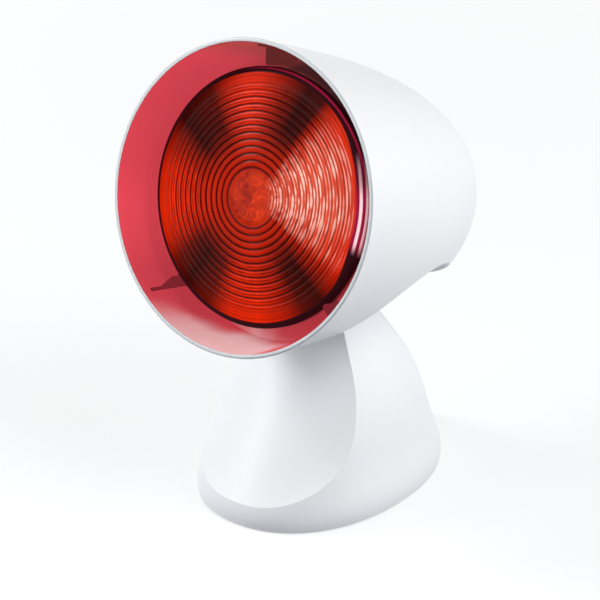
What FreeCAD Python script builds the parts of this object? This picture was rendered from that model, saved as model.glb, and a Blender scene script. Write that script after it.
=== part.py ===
import FreeCAD, Part
import math
import os

from FreeCAD import Placement, Rotation, Vector

# Infrared heat therapy lamp: a tilting bell-shaped hood on a weighted oval base.
# Millimetres, +Z up, the lamp shines toward -Y.

# ---- base body: height, half width, half depth, centre in Y ----
base_stations = [
    (0.8, 51.4, 68.4, 0.0),
    (4.0, 52.0, 68.6, -0.2),
    (20.0, 49.2, 64.4, -0.9),
    (40.0, 44.4, 58.1, -0.9),
    (60.0, 38.1, 49.8, -2.1),
    (80.0, 30.0, 38.5, -5.6),
    (98.0, 23.0, 28.5, -9.0),
    (112.0, 19.0, 23.0, -11.0),
]
oval_exponent = 2.16
oval_points = 24
base_wall = 2.4
base_cavity_top = 74.0
wire_channel_radius = 4.0
wire_channel_y = 6.0
beyond = 100.0

# ---- front facet: a slice of a leaning cylinder ----
facet_radius = 56.0
facet_lean = 32.0
facet_nose_y = -66.9
facet_nose_z = 12.0
facet_border = 1.3
panel_gap = 0.15
panel_thickness = 2.4
panel_top = 84.0

# ---- neck and tilt pivot ----
pivot_y = 0.0
pivot_z = 97.5
neck_radius = 11.0
neck_foot_z = 80.0
neck_foot_front = -38.0
neck_foot_back = 34.0
neck_slot_half = 8.2
neck_slot_floor = 87.6
tongue_half = 7.0
tongue_boss_radius = 9.5
axle_radius = 4.0
axle_half_length = 20.4
axle_cap_radius = 6.5
axle_cap_thickness = 1.6
washer_radius = 8.5
washer_thickness = 0.6
detent_count = 5
detent_step = 9.0
detent_arm = 6.6
detent_hole_radius = 0.9
ball_radius = 1.2
spring_pitch = 1.1
spring_wire = 0.2

# ---- underside ----
plate_bottom = 1.6
plate_thickness = 2.0
plate_gap = 0.3
plate_slot_length = 26.0
plate_slot_width = 2.4
plate_slot_pitch = 6.0
foot_radius = 7.0
foot_chamfer = 0.5
foot_places = [(31.0, 40.0), (-31.0, 40.0), (31.0, -40.0), (-31.0, -40.0)]
screw_places = [(24.0, 50.0), (-24.0, 50.0), (24.0, -50.0), (-24.0, -50.0)]
boss_radius = 4.2
screw_head_radius = 3.0
screw_head_height = 1.8
screw_shank_radius = 1.45
screw_length = 12.0
screw_sink = 0.6
cross_length = 3.6
cross_width = 0.8
cross_depth = 1.2
ballast_height = 9.0
ballast_inset = 8.0
ballast_pocket = (40.0, 38.0)
terminal_y = 22.0
terminal_size = (30.0, 16.0, 6.0)
terminal_pitch = 10.0
terminal_clamp_radius = 4.0
terminal_clamp_height = 8.0
terminal_wire_radius = 2.0
terminal_screw_radius = 1.8
bush_wall_y = 64.4
bush_z = 15.0
bush_radius = 5.5
bush_bore = 3.4
bush_flange_radius = 7.7
bush_flange_thickness = 1.4
bush_groove = 1.8
bush_nose = 3.8
bush_tail = 8.0

# ---- head: local Z runs back along the axis, local Y points down ----
rest_tilt = 18.0
rim_y = -62.1
rim_z = 169.0
hood_radius = 72.9
hood_length = 165.9
hood_shape = (0.605, 0.515, 0.069)
hood_wall = 1.8
hood_front = 2.2
hood_rear = 150.8
rim_radius = 73.4
rim_round = 1.0
rim_lip = 2.0
rib_angles = [-7.0, 128.0, 218.0]
rib_thickness = 1.5
rib_tip_radius = 61.1
rib_ridge_start = 4.6
rib_ridge_height = 1.0
rib_web_start = 11.4
rib_web_end = 38.0
rib_back_start = 31.0
rib_back_radius = 66.0
pad_width = 5.0
pad_length = 12.0
pad_height = 1.6
pad_centre = 25.0
cap_wall = 2.0
cap_lip_reach = 4.0
cap_lip_wall = 1.6
slot_width = 3.0
slot_pitch = 7.5
slot_count = 5
slot_field = 26.0
slot_reach = 30.0

# ---- arch under the head, closed by the saddle ----
arch_s = 96.7
arch_w = 82.1
arch_radius = 61.6
saddle_wall = 1.8
belly_line = [(57.5, 36.0), (26.6, 91.0), (26.6, 132.0)]
tongue_root_down = 24.0
tongue_root = (66.0, 100.0)
tongue_waist = 9.4
fit_gap = 0.1

# ---- bulb: reflector lamp, 38/8 inch across, Edison screw 27 mm ----
bulb_radius = 60.5
bulb_front = 15.5
bulb_crown = 6.2
lens_curve = 2.6
lens_thickness = 3.2
flange_depth = 5.5
bowl_start = 22.0
bowl_vertex = 98.0
bowl_factor = 42.75
glass_wall = 2.6
neck_outer = 20.0
neck_end = 107.0
cap_start = 116.0
cap_radius = 13.2
cap_wall_sheet = 0.4
cap_end = 139.0
contact_radius = 4.6
contact_start = 142.5
contact_end = 144.0
stem_front = 84.0
filament_half = 11.0
filament_s = 68.6
ring_first = 14.0
ring_pitch = 3.24
ring_count = 12
ring_depth = 0.45

# ---- lampholder ----
holder_radius = 23.0
holder_front = 117.5
holder_end = 151.5
holder_bore = 14.3
sleeve_outer = 14.2
sleeve_inner = 13.75
holder_ledge = 20.5
contact_seat = 147.5
bracket_s = 130.0
bracket_thickness = 2.0
bracket_radius = 38.0
bracket_ring = 26.0
bracket_arm = 13.0
bracket_hole = 1.8
bracket_bore = 18.3
post_radius = 4.5
post_bore = 1.5
post_ring = 33.0
post_angles = [0.0, 120.0, 240.0]
bracket_screw_length = 12.0
bracket_screw_head = (3.2, 2.0)
bracket_screw_slot = (7.0, 0.9, 1.6)
shield_bore = 21.2
shield_s = 113.0
shield_wall = 1.0
shield_ring = 30.0
shield_edge = (44.0, 104.0)

X_AXIS = Vector(1, 0, 0)
Y_AXIS = Vector(0, 1, 0)
Z_AXIS = Vector(0, 0, 1)


# ---------- helpers ----------
def slab_between(low, high):
    """A wide block from one height to another, for trimming."""
    return Part.makeBox(2 * beyond, 2 * beyond, high - low, Vector(-beyond, -beyond, low))


def cylinder_along(axis, radius, start, length):
    return Part.makeCylinder(radius, length, start, axis)


def centred_box(width, depth, height, centre):
    corner = centre - Vector(width / 2, depth / 2, height / 2)
    return Part.makeBox(width, depth, height, corner)


def revolved(radius_height_pairs):
    """Solid of revolution about local Z from a closed profile of straight sides."""
    points = [Vector(radius, 0, height) for radius, height in radius_height_pairs]
    outline = Part.makePolygon(points + points[:1])
    return Part.Face(outline).revolve(Vector(0, 0, 0), Z_AXIS, 360)


def ring_solid(inner, outer, low, high):
    return revolved([(inner, low), (outer, low), (outer, high), (inner, high)])


def around_axis(shape, angle):
    """Turn a head part about the head axis; 0 is the top, positive toward +X."""
    turned = shape.copy()
    turned.rotate(Vector(0, 0, 0), Z_AXIS, angle)
    return turned


def joined(shapes):
    result = shapes[0]
    for shape in shapes[1:]:
        result = result.fuse(shape)
    return result


# ---------- base forms ----------
def oval_wire(height, half_width, half_depth, centre_y):
    points = []
    for step in range(oval_points):
        angle = 2 * math.pi * step / oval_points
        x = math.copysign(abs(math.cos(angle)) ** (2 / oval_exponent), math.cos(angle))
        y = math.copysign(abs(math.sin(angle)) ** (2 / oval_exponent), math.sin(angle))
        points.append(Vector(half_width * x, centre_y + half_depth * y, height))
    curve = Part.BSplineCurve()
    curve.interpolate(Points=points, PeriodicFlag=True)
    return Part.Wire(curve.toShape())


def base_form(inset):
    wires = []
    for height, half_width, half_depth, centre_y in base_stations:
        wires.append(oval_wire(height, half_width - inset, half_depth - inset, centre_y))
    return Part.makeLoft(wires, True)


def facet_cylinder(radius):
    """The leaning cylinder whose surface is the front facet of the base."""
    lean = math.radians(facet_lean)
    along = Vector(0, math.sin(lean), math.cos(lean))
    inward = Vector(0, math.cos(lean), -math.sin(lean))
    nose = Vector(0, facet_nose_y, facet_nose_z)
    start = nose + inward * facet_radius - along * beyond
    return Part.makeCylinder(radius, 3 * beyond, start, along)


def behind_facet(radius):
    """Everything inside the leaning cylinder, or behind its axis."""
    rear = Part.makeBox(2 * beyond, 2 * beyond, 2 * beyond, Vector(-beyond, 0, -beyond / 2))
    return facet_cylinder(radius).fuse(rear)


def tangent_point(point, centre, radius, side):
    reach = point - centre
    bearing = math.atan2(reach.z, reach.y)
    spread = math.acos(radius / reach.Length)
    angle = bearing + side * spread
    return centre + Vector(0, radius * math.cos(angle), radius * math.sin(angle))


def neck_envelope():
    """Side profile of the neck: straight flanks running into the knuckle."""
    centre = Vector(0, pivot_y, pivot_z)
    front_foot = Vector(0, neck_foot_front, neck_foot_z)
    back_foot = Vector(0, neck_foot_back, neck_foot_z)
    front_touch = tangent_point(front_foot, centre, neck_radius, -1)
    back_touch = tangent_point(back_foot, centre, neck_radius, 1)
    crown = centre + Vector(0, 0, neck_radius)
    front_low = Vector(0, -beyond, -beyond)
    back_low = Vector(0, beyond, -beyond)
    front_edge = Vector(0, -beyond, neck_foot_z)
    back_edge = Vector(0, beyond, neck_foot_z)
    edges = [
        Part.makeLine(front_low, front_edge),
        Part.makeLine(front_edge, front_foot),
        Part.makeLine(front_foot, front_touch),
        Part.Arc(front_touch, crown, back_touch).toShape(),
        Part.makeLine(back_touch, back_foot),
        Part.makeLine(back_foot, back_edge),
        Part.makeLine(back_edge, back_low),
        Part.makeLine(back_low, front_low),
    ]
    face = Part.Face(Part.Wire(edges))
    face.translate(Vector(-beyond, 0, 0))
    return face.extrude(Vector(2 * beyond, 0, 0))


# ---------- head forms ----------
def hood_outline(offset, start, end, count=22):
    """Points of the bell curve, offset inward, from start to end along the axis."""
    a, b, c = hood_shape
    points = []
    for step in range(count + 1):
        t = math.sin(0.5 * math.pi * step / count)
        s = start + (end - start) * t
        u = min(s / hood_length, 1.0)
        square = (1 - u) * (1 + a * u + b * u ** 2 + c * u ** 3)
        radius = hood_radius * math.sqrt(max(square, 0.0))
        slope = -(1 - a + 2 * u * (a - b) + 3 * u * u * (b - c) + 4 * u ** 3 * c)
        slope = slope * hood_radius ** 2 / (2 * max(radius, 0.5) * hood_length)
        length = math.hypot(1, slope)
        inset_radius = max(radius - offset / length, 0.0)
        points.append(Vector(inset_radius, 0, s + offset * slope / length))
    return points


def curve_through(points):
    curve = Part.BSplineCurve()
    curve.interpolate(points)
    return curve.toShape()


def hood_fill(offset, start, end):
    """Solid filling the hood inside its outer surface less the offset."""
    points = hood_outline(offset, start, end)
    first, last = points[0], points[-1]
    edges = [curve_through(points)]
    if last.x > 0.01:
        edges.append(Part.makeLine(last, Vector(0, 0, last.z)))
    edges.append(Part.makeLine(Vector(0, 0, last.z), Vector(0, 0, first.z)))
    edges.append(Part.makeLine(Vector(0, 0, first.z), first))
    return Part.Face(Part.Wire(edges)).revolve(Vector(0, 0, 0), Z_AXIS, 360)


def arch_cylinder(radius):
    return cylinder_along(X_AXIS, radius, Vector(-beyond, arch_w, arch_s), 2 * beyond)


def belly_solid(thickness):
    profile = [(radius + thickness, s) for radius, s in belly_line]
    closing = [(0, belly_line[-1][1]), (0, belly_line[0][1])]
    return revolved(profile + closing)


def head_point(y, z):
    """World position (in the YZ plane) to head coordinates (down, back)."""
    tilt = math.radians(rest_tilt)
    dy, dz = y - rim_y, z - rim_z
    back = dy * math.cos(tilt) - dz * math.sin(tilt)
    down = -dy * math.sin(tilt) - dz * math.cos(tilt)
    return down, back


# ---------- base parts ----------
def base_outer():
    return base_form(0).common(behind_facet(facet_radius)).common(neck_envelope())


def panel_region(gap):
    slab = base_form(facet_border - gap).common(facet_cylinder(facet_radius))
    depth = panel_thickness + gap
    slab = slab.cut(behind_facet(facet_radius - depth))
    return slab.common(slab_between(0, panel_top + gap))


def base_cavity():
    hollow = base_form(base_wall).common(behind_facet(facet_radius - panel_thickness - base_wall))
    return hollow.common(slab_between(0, base_cavity_top))


def make_base_shell():
    outer = base_outer()
    plate_top = plate_bottom + plate_thickness
    posts = []
    for x, y in screw_places:
        post = cylinder_along(Z_AXIS, boss_radius, Vector(x, y, plate_top), beyond)
        posts.append(post.common(outer))
    floor_opening = base_form(base_wall).common(slab_between(0, plate_top + 0.4))
    shell = outer.cut(base_cavity()).cut(floor_opening)
    shell = joined([shell] + posts)
    shell = shell.cut(panel_region(panel_gap))
    slot = Part.makeBox(2 * neck_slot_half, beyond, beyond,
                        Vector(-neck_slot_half, -beyond / 2, neck_slot_floor))
    channel_start = Vector(0, wire_channel_y, base_cavity_top - 1)
    channel = cylinder_along(Z_AXIS, wire_channel_radius, channel_start, beyond)
    bore = cylinder_along(X_AXIS, axle_radius, Vector(-beyond, pivot_y, pivot_z), 2 * beyond)
    cuts = [slot, channel, bore]
    for side in (-1, 1):
        seat = Vector(side * axle_half_length, pivot_y, pivot_z)
        cuts.append(cylinder_along(Vector(side, 0, 0), axle_cap_radius + fit_gap, seat, beyond))
    for x, y in screw_places:
        depth = screw_length + 2 * plate_bottom
        cuts.append(cylinder_along(Z_AXIS, screw_shank_radius + 0.05, Vector(x, y, 0), depth))
    bush_start = Vector(0, bush_wall_y - bush_tail, bush_z)
    cuts.append(cylinder_along(Y_AXIS, bush_radius + fit_gap, bush_start, beyond))
    bush_seat = Vector(0, bush_wall_y + bush_groove - 0.05, bush_z)
    cuts.append(cylinder_along(Y_AXIS, bush_flange_radius + fit_gap, bush_seat, beyond))
    for cut in cuts:
        shell = shell.cut(cut)
    return shell


def make_front_panel():
    return panel_region(0)


def make_base_plate():
    slab = slab_between(plate_bottom, plate_bottom + plate_thickness)
    plate = base_form(base_wall + plate_gap).common(slab)
    for x, y in screw_places:
        hole = cylinder_along(Z_AXIS, screw_shank_radius + 0.3, Vector(x, y, 0), screw_length)
        plate = plate.cut(hole)
    for row in range(-2, 3):
        middle = Vector(0, row * plate_slot_pitch, plate_bottom)
        plate = plate.cut(centred_box(plate_slot_length, plate_slot_width, 5 * plate_thickness, middle))
    return plate


def make_rubber_feet():
    feet = []
    for x, y in foot_places:
        foot = cylinder_along(Z_AXIS, foot_radius, Vector(x, y, 0), plate_bottom)
        rim = [edge for edge in foot.Edges if abs(edge.CenterOfMass.z) < 0.01 and edge.Closed]
        feet.append(foot.makeChamfer(foot_chamfer, rim))
    return Part.makeCompound(feet)


def make_base_screws():
    screws = []
    low = plate_bottom - screw_head_height + screw_sink
    for x, y in screw_places:
        place = Vector(x, y, low)
        head = cylinder_along(Z_AXIS, screw_head_radius, place, plate_bottom - low)
        shank = cylinder_along(Z_AXIS, screw_shank_radius, place, screw_length)
        cross = joined([centred_box(cross_length, cross_width, cross_depth, place),
                        centred_box(cross_width, cross_length, cross_depth, place)])
        screws.append(head.fuse(shank).cut(cross))
    return Part.makeCompound(screws)


def make_ballast():
    floor = plate_bottom + plate_thickness
    block = base_form(ballast_inset).common(slab_between(floor, floor + ballast_height))
    width, depth = ballast_pocket
    block = block.cut(centred_box(width, depth, beyond, Vector(0, terminal_y, 0)))
    for x, y in screw_places:
        block = block.cut(cylinder_along(Z_AXIS, boss_radius + 1.2, Vector(x, y, 0), beyond))
    notch_start = Vector(0, terminal_y, bush_z)
    return block.cut(cylinder_along(Y_AXIS, bush_radius + 1.0, notch_start, beyond))


def make_terminal_block():
    floor = plate_bottom + plate_thickness
    width, depth, height = terminal_size
    body = centred_box(width, depth, height, Vector(0, terminal_y, floor + height / 2))
    clamp_z = floor + terminal_clamp_height
    places = [-terminal_pitch, 0, terminal_pitch]
    towers = []
    for x in places:
        start = Vector(x, terminal_y - depth / 2, clamp_z)
        tower = cylinder_along(Y_AXIS, terminal_clamp_radius, start, depth)
        neck = centred_box(7, 6, terminal_clamp_height, Vector(x, terminal_y, clamp_z + 3))
        towers.append(tower.fuse(neck))
    block = joined([body] + towers)
    for x in places:
        wire_hole = cylinder_along(Y_AXIS, terminal_wire_radius, Vector(x, 0, clamp_z), beyond)
        screw_hole = cylinder_along(Z_AXIS, terminal_screw_radius, Vector(x, terminal_y, clamp_z + 1), 10)
        block = block.cut(wire_hole).cut(screw_hole)
    return block


def make_cable_bush():
    flange_back = bush_groove + bush_flange_thickness
    end = bush_groove + bush_nose
    profile = [(bush_bore, -bush_tail), (bush_radius, -bush_tail), (bush_radius, bush_groove),
               (bush_flange_radius, bush_groove), (bush_flange_radius, flange_back),
               (bush_radius - 0.6, end), (bush_bore, end)]
    bush = revolved(profile)
    bush.Placement = Placement(Vector(0, bush_wall_y, bush_z), Rotation(X_AXIS, -90))
    return bush


def make_pivot_axle():
    return cylinder_along(X_AXIS, axle_radius - 0.03,
                          Vector(-axle_half_length, pivot_y, pivot_z), 2 * axle_half_length)


def make_axle_caps():
    caps = []
    for side in (-1, 1):
        seat = Vector(side * axle_half_length, pivot_y, pivot_z)
        cap = cylinder_along(Vector(side, 0, 0), axle_cap_radius, seat, axle_cap_thickness)
        caps.append(cap)
    return Part.makeCompound(caps)


def make_detent_plates():
    plates = []
    for side in (-1, 1):
        start = Vector(side * (neck_slot_half - washer_thickness), pivot_y, pivot_z)
        plate = cylinder_along(Vector(side, 0, 0), washer_radius, start, washer_thickness)
        bore = cylinder_along(X_AXIS, axle_radius + 0.1, Vector(-beyond, pivot_y, pivot_z), 2 * beyond)
        plate = plate.cut(bore)
        for index in range(detent_count):
            angle = math.radians(detent_step * (index - (detent_count - 1) / 2))
            y = pivot_y + detent_arm * math.sin(angle)
            z = pivot_z - detent_arm * math.cos(angle)
            hole = cylinder_along(X_AXIS, detent_hole_radius, Vector(-beyond, y, z), 2 * beyond)
            plate = plate.cut(hole)
        plates.append(plate)
    return Part.makeCompound(plates)


# ---------- head parts, in head coordinates ----------
def make_hood_shell():
    outer = hood_fill(0, hood_front, hood_rear)
    inner = hood_fill(hood_wall, hood_front - 1, hood_rear + 2 * hood_wall)
    shell = outer.cut(inner)
    posts = []
    for angle in post_angles:
        start = Vector(0, -post_ring, bracket_s + bracket_thickness)
        post_height = hood_rear - cap_lip_reach - 0.3 - start.z
        post = cylinder_along(Z_AXIS, post_radius, start, post_height)
        posts.append(around_axis(post, angle).common(hood_fill(hood_wall / 3, holder_front, hood_rear)))
    shell = joined([shell] + posts)
    for angle in post_angles:
        start = Vector(0, -post_ring, bracket_s)
        pilot = cylinder_along(Z_AXIS, post_bore, start, bracket_screw_length)
        shell = shell.cut(around_axis(pilot, angle))
    return shell.cut(arch_cylinder(arch_radius))


def make_front_rim():
    inner = hood_outline(hood_wall, hood_front, hood_rear)[0].x
    edge = rim_radius - rim_round
    start = Vector(rim_radius - rim_lip, 0, 0)
    curve_mid = Vector(rim_radius - 0.29 * rim_round, 0, 0.29 * rim_round)
    edges = [
        Part.makeLine(start, Vector(edge, 0, 0)),
        Part.Arc(Vector(edge, 0, 0), curve_mid, Vector(rim_radius, 0, rim_round)).toShape(),
        Part.makeLine(Vector(rim_radius, 0, rim_round), Vector(rim_radius - 0.3, 0, hood_front)),
        Part.makeLine(Vector(rim_radius - 0.3, 0, hood_front), Vector(inner, 0, hood_front)),
        Part.makeLine(Vector(inner, 0, hood_front), start),
    ]
    return Part.Face(Part.Wire(edges)).revolve(Vector(0, 0, 0), Z_AXIS, 360)


def rib_outline():
    """Side view of a rib: a low ridge, then a web that reaches in to the bulb's edge."""
    wall = hood_radius + 2
    ridge = hood_outline(hood_wall + rib_ridge_height, rib_ridge_start, rib_web_start, 1)
    return [Vector(0, -wall, rib_ridge_start), Vector(0, -ridge[0].x, rib_ridge_start),
            Vector(0, -ridge[1].x, rib_web_start), Vector(0, -rib_tip_radius - 1, rib_web_start + 0.4),
            Vector(0, -rib_tip_radius, rib_web_start + 1.4), Vector(0, -rib_tip_radius, rib_back_start),
            Vector(0, -rib_back_radius, rib_web_end), Vector(0, -wall, rib_web_end)]


def make_centring_ribs():
    ribs = []
    fill = hood_fill(hood_wall + 0.02, hood_front + 0.5, bowl_start + rib_web_end)
    for angle in rib_angles:
        outline = rib_outline()
        face = Part.Face(Part.makePolygon(outline + outline[:1]))
        face.translate(Vector(-rib_thickness / 2, 0, 0))
        web = face.extrude(Vector(rib_thickness, 0, 0))
        pad_place = Vector(0, -(rib_tip_radius + pad_height / 2), pad_centre)
        pad = centred_box(pad_width, pad_height, pad_length, pad_place)
        ribs.append(around_axis(web.fuse(pad).common(fill), angle))
    return Part.makeCompound(ribs)


def make_underside_saddle():
    fill = hood_fill(hood_wall + fit_gap, bowl_start, hood_rear - 2.8)
    wall = fill.common(arch_cylinder(arch_radius + saddle_wall))
    wall = wall.cut(arch_cylinder(arch_radius)).cut(belly_solid(0))
    belly = belly_solid(saddle_wall).cut(belly_solid(0))
    belly = belly.common(arch_cylinder(arch_radius)).common(fill)
    pivot_down, pivot_back = head_point(pivot_y, pivot_z)
    boss = cylinder_along(X_AXIS, tongue_boss_radius,
                          Vector(-tongue_half, pivot_down, pivot_back), 2 * tongue_half)
    root = [Vector(0, tongue_root_down, tongue_root[0]), Vector(0, tongue_root_down, tongue_root[1]),
            Vector(0, pivot_down, pivot_back + tongue_waist),
            Vector(0, pivot_down, pivot_back - tongue_waist)]
    web = Part.Face(Part.makePolygon(root + root[:1]))
    web.translate(Vector(-tongue_half, 0, 0))
    tongue = web.extrude(Vector(2 * tongue_half, 0, 0)).fuse(boss).cut(belly_solid(0.4))
    tongue = tongue.cut(wall)
    saddle = joined([wall, belly, tongue])
    axle_start = Vector(-beyond, pivot_down, pivot_back)
    bore = cylinder_along(X_AXIS, axle_radius + 0.05, axle_start, 2 * beyond)
    ball_start = ball_place(-beyond)
    seat = cylinder_along(X_AXIS, ball_radius + 0.1, ball_start, 2 * beyond)
    return saddle.cut(bore).cut(seat).removeSplitter()


def ball_place(x):
    """Point on the detent balls' line, under the axle when the head is at its middle tilt."""
    pivot_down, pivot_back = head_point(pivot_y, pivot_z)
    tilt = math.radians(rest_tilt)
    return Vector(x, pivot_down + detent_arm * math.cos(tilt), pivot_back + detent_arm * math.sin(tilt))


def make_detent_balls():
    reach = neck_slot_half - washer_thickness - 0.05 - ball_radius
    return Part.makeCompound([Part.makeSphere(ball_radius, ball_place(side * reach)) for side in (-1, 1)])


def make_detent_spring():
    reach = neck_slot_half - washer_thickness - 2 * ball_radius - 0.5
    coil_radius = ball_radius - 0.25
    coil = Part.makeHelix(spring_pitch, 2 * reach, coil_radius)
    section = Part.Wire(Part.makeCircle(spring_wire, Vector(coil_radius, 0, 0), Y_AXIS))
    wire = Part.Wire(coil).makePipeShell([section], True, True)
    wire.Placement = Placement(ball_place(-reach), Rotation(Y_AXIS, 90))
    return wire


def make_rear_cap():
    outer = hood_fill(0, hood_rear + fit_gap, hood_length)
    inner = hood_fill(cap_wall, hood_rear - 1, hood_length)
    cap = outer.cut(inner)
    lip_outer = hood_outline(hood_wall + 0.2, hood_rear, hood_length)[0].x
    lip = ring_solid(lip_outer - cap_lip_wall, lip_outer, hood_rear - cap_lip_reach, hood_rear + 2.0)
    cap = cap.fuse(lip.common(hood_fill(hood_wall + 0.2, hood_rear - 6, hood_length)))
    for index in range(slot_count):
        down = (index - (slot_count - 1) / 2) * slot_pitch
        half = math.sqrt(slot_field ** 2 - down ** 2)
        slot = centred_box(2 * half, slot_width, slot_reach, Vector(0, down, hood_rear + 0.6 * slot_reach))
        cap = cap.cut(slot)
    return cap


def make_heat_shield():
    """Dished ring behind the bowl; its tube stands on the holder bracket."""
    edge_radius, edge_s = shield_edge
    back = shield_s + shield_wall
    dish = revolved([(shield_bore, shield_s), (shield_ring, shield_s), (edge_radius, edge_s),
                     (edge_radius + 0.3, edge_s + shield_wall), (shield_ring + 0.2, back),
                     (shield_bore, back)])
    dish = dish.cut(arch_cylinder(arch_radius + saddle_wall + 0.4))
    tube = ring_solid(shield_bore, shield_bore + 0.8, shield_s, bracket_s - 0.05)
    collar = ring_solid(shield_bore, shield_bore + 5.0, shield_s, back)
    return joined([dish, collar, tube])


def make_holder_bracket():
    back = bracket_s + bracket_thickness
    plate = ring_solid(bracket_bore, bracket_ring, bracket_s, back)
    arms = []
    for angle in post_angles:
        arm = centred_box(bracket_arm, bracket_radius, bracket_thickness,
                          Vector(0, -bracket_radius / 2, bracket_s + bracket_thickness / 2))
        arms.append(around_axis(arm, angle))
    keep = ring_solid(bracket_bore, bracket_radius, bracket_s, back)
    bracket = joined([plate] + arms).common(keep)
    for angle in post_angles:
        start = Vector(0, -post_ring, bracket_s - bracket_thickness)
        hole = cylinder_along(Z_AXIS, bracket_hole, start, 3 * bracket_thickness)
        bracket = bracket.cut(around_axis(hole, angle))
    return bracket


def make_bracket_screws():
    head_radius, head_height = bracket_screw_head
    place = Vector(0, -post_ring, bracket_s - head_height)
    screws = []
    for angle in post_angles:
        head = cylinder_along(Z_AXIS, head_radius, place, head_height)
        shank = cylinder_along(Z_AXIS, post_bore - 0.05, place, bracket_screw_length)
        slot = centred_box(*bracket_screw_slot, place)
        screws.append(around_axis(head.fuse(shank).cut(slot), angle))
    return Part.makeCompound(screws)


def make_lampholder():
    collar = holder_bore + 3.9
    back = bracket_s + bracket_thickness
    profile = [(holder_bore, holder_front), (holder_ledge - 1, holder_front),
               (holder_ledge, holder_front + 1.2), (holder_ledge, bracket_s), (collar, bracket_s),
               (collar, back), (holder_radius, back), (holder_radius, contact_end),
               (19.0, holder_end), (0, holder_end), (0, contact_seat),
               (6.0, contact_seat), (6.0, 145.6), (holder_bore, 145.6)]
    return revolved(profile)


def make_holder_sleeve():
    return ring_solid(sleeve_inner, sleeve_outer, holder_front + 1.0, 140.0)


def make_holder_contact():
    tip = contact_end + 0.2
    return revolved([(0, contact_seat), (0, tip), (3.5, tip), (4.0, tip + 0.8), (5.8, tip + 2.2),
                     (5.8, contact_seat)])


# ---------- bulb parts, in head coordinates ----------
def bowl_outline(thickness, first, last, count=14):
    points = []
    for step in range(count + 1):
        s = first + (last - first) * step / count
        points.append(Vector(math.sqrt(bowl_factor * (bowl_vertex - s)) - thickness, 0, s))
    return points


def make_bulb_reflector():
    bowl_end = bowl_vertex - neck_outer ** 2 / bowl_factor
    outside = bowl_outline(0, bowl_start, bowl_end)
    inner_neck = neck_outer - glass_wall
    inner_end = bowl_vertex - (inner_neck + glass_wall) ** 2 / bowl_factor
    inside = bowl_outline(glass_wall, bowl_start, inner_end)
    flange_back = bulb_front + flange_depth
    lens_seat = bulb_front + lens_thickness
    rim = [Vector(inside[0].x, 0, lens_seat), Vector(bulb_radius, 0, lens_seat),
           Vector(bulb_radius, 0, flange_back), Vector(bulb_radius - 2, 0, flange_back + 0.8),
           outside[0]]
    neck = [outside[-1], Vector(neck_outer, 0, neck_end), Vector(cap_radius + 1.4, 0, cap_start),
            Vector(cap_radius + 1.4 - glass_wall, 0, cap_start),
            Vector(inner_neck, 0, neck_end - 1), inside[-1]]
    edges = [curve_through(outside), curve_through(inside), Part.makeLine(inside[0], rim[0])]
    for chain in (rim, neck):
        for first, second in zip(chain, chain[1:]):
            edges.append(Part.makeLine(first, second))
    outline = Part.Wire(Part.__sortEdges__(edges))
    return Part.Face(outline).revolve(Vector(0, 0, 0), Z_AXIS, 360)


def lens_front(radius):
    return bulb_front - bulb_crown * (1 - (radius / bulb_radius) ** lens_curve)


def make_bulb_lens():
    """Domed face with concentric V-grooves cut in its front."""
    front = [(0.0, lens_front(0)), (ring_first - 1, lens_front(ring_first - 1))]
    for index in range(ring_count):
        radius = ring_first + index * ring_pitch
        front.append((radius, lens_front(radius)))
        middle = radius + 0.8 * ring_pitch
        front.append((middle, lens_front(middle) + ring_depth))
    last = ring_first + ring_count * ring_pitch
    front.append((last, lens_front(last)))
    front.append((bulb_radius - 1.0, bulb_front))
    front.append((bulb_radius, bulb_front + 1.0))
    back = [(bulb_radius * share, lens_front(bulb_radius * share) + lens_thickness)
            for share in (1.0, 0.8, 0.6, 0.4, 0.2, 0.0)]
    return revolved(front + back)


def make_bulb_cap():
    shoulder = cap_radius + 1.2
    inside = cap_radius - cap_wall_sheet
    profile = [(inside, cap_start + 0.1), (shoulder, cap_start + 0.1),
               (shoulder, cap_start + 1.0), (cap_radius, cap_start + 2.4), (cap_radius, cap_end - 1.5),
               (cap_radius - 1.5, cap_end), (inside - 1.5, cap_end), (inside, cap_end - 1.7)]
    return revolved(profile)


def make_bulb_insulator():
    bore = contact_radius + 0.05
    return revolved([(bore, cap_end - 1.0), (cap_radius - 2.0, cap_end - 1.0),
                     (cap_radius - 2.0, cap_end + 0.2), (bore + 0.4, contact_start), (bore, contact_start)])


def make_bulb_contact():
    return revolved([(0, cap_end + 1.0), (contact_radius, cap_end + 1.0),
                     (contact_radius, contact_start + 0.5), (contact_radius - 1.0, contact_end),
                     (0, contact_end)])


def make_filament_mount():
    """Glass stem with two bent-out support wires."""
    stem = revolved([(0, stem_front), (3.6, stem_front), (5.0, 90.0), (7.0, 112.0), (0, 112.0)])
    wires = []
    for side in (-1, 1):
        inner = Vector(side * 1.5, 0, stem_front + 1.0)
        outer = Vector(side * filament_half, 0, filament_s + 1.4)
        wires.append(Part.makeCylinder(0.7, (outer - inner).Length, inner, outer - inner))
    return joined([stem] + wires)


def make_filament():
    return cylinder_along(X_AXIS, 1.0, Vector(-filament_half, 0, filament_s), 2 * filament_half)


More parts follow.
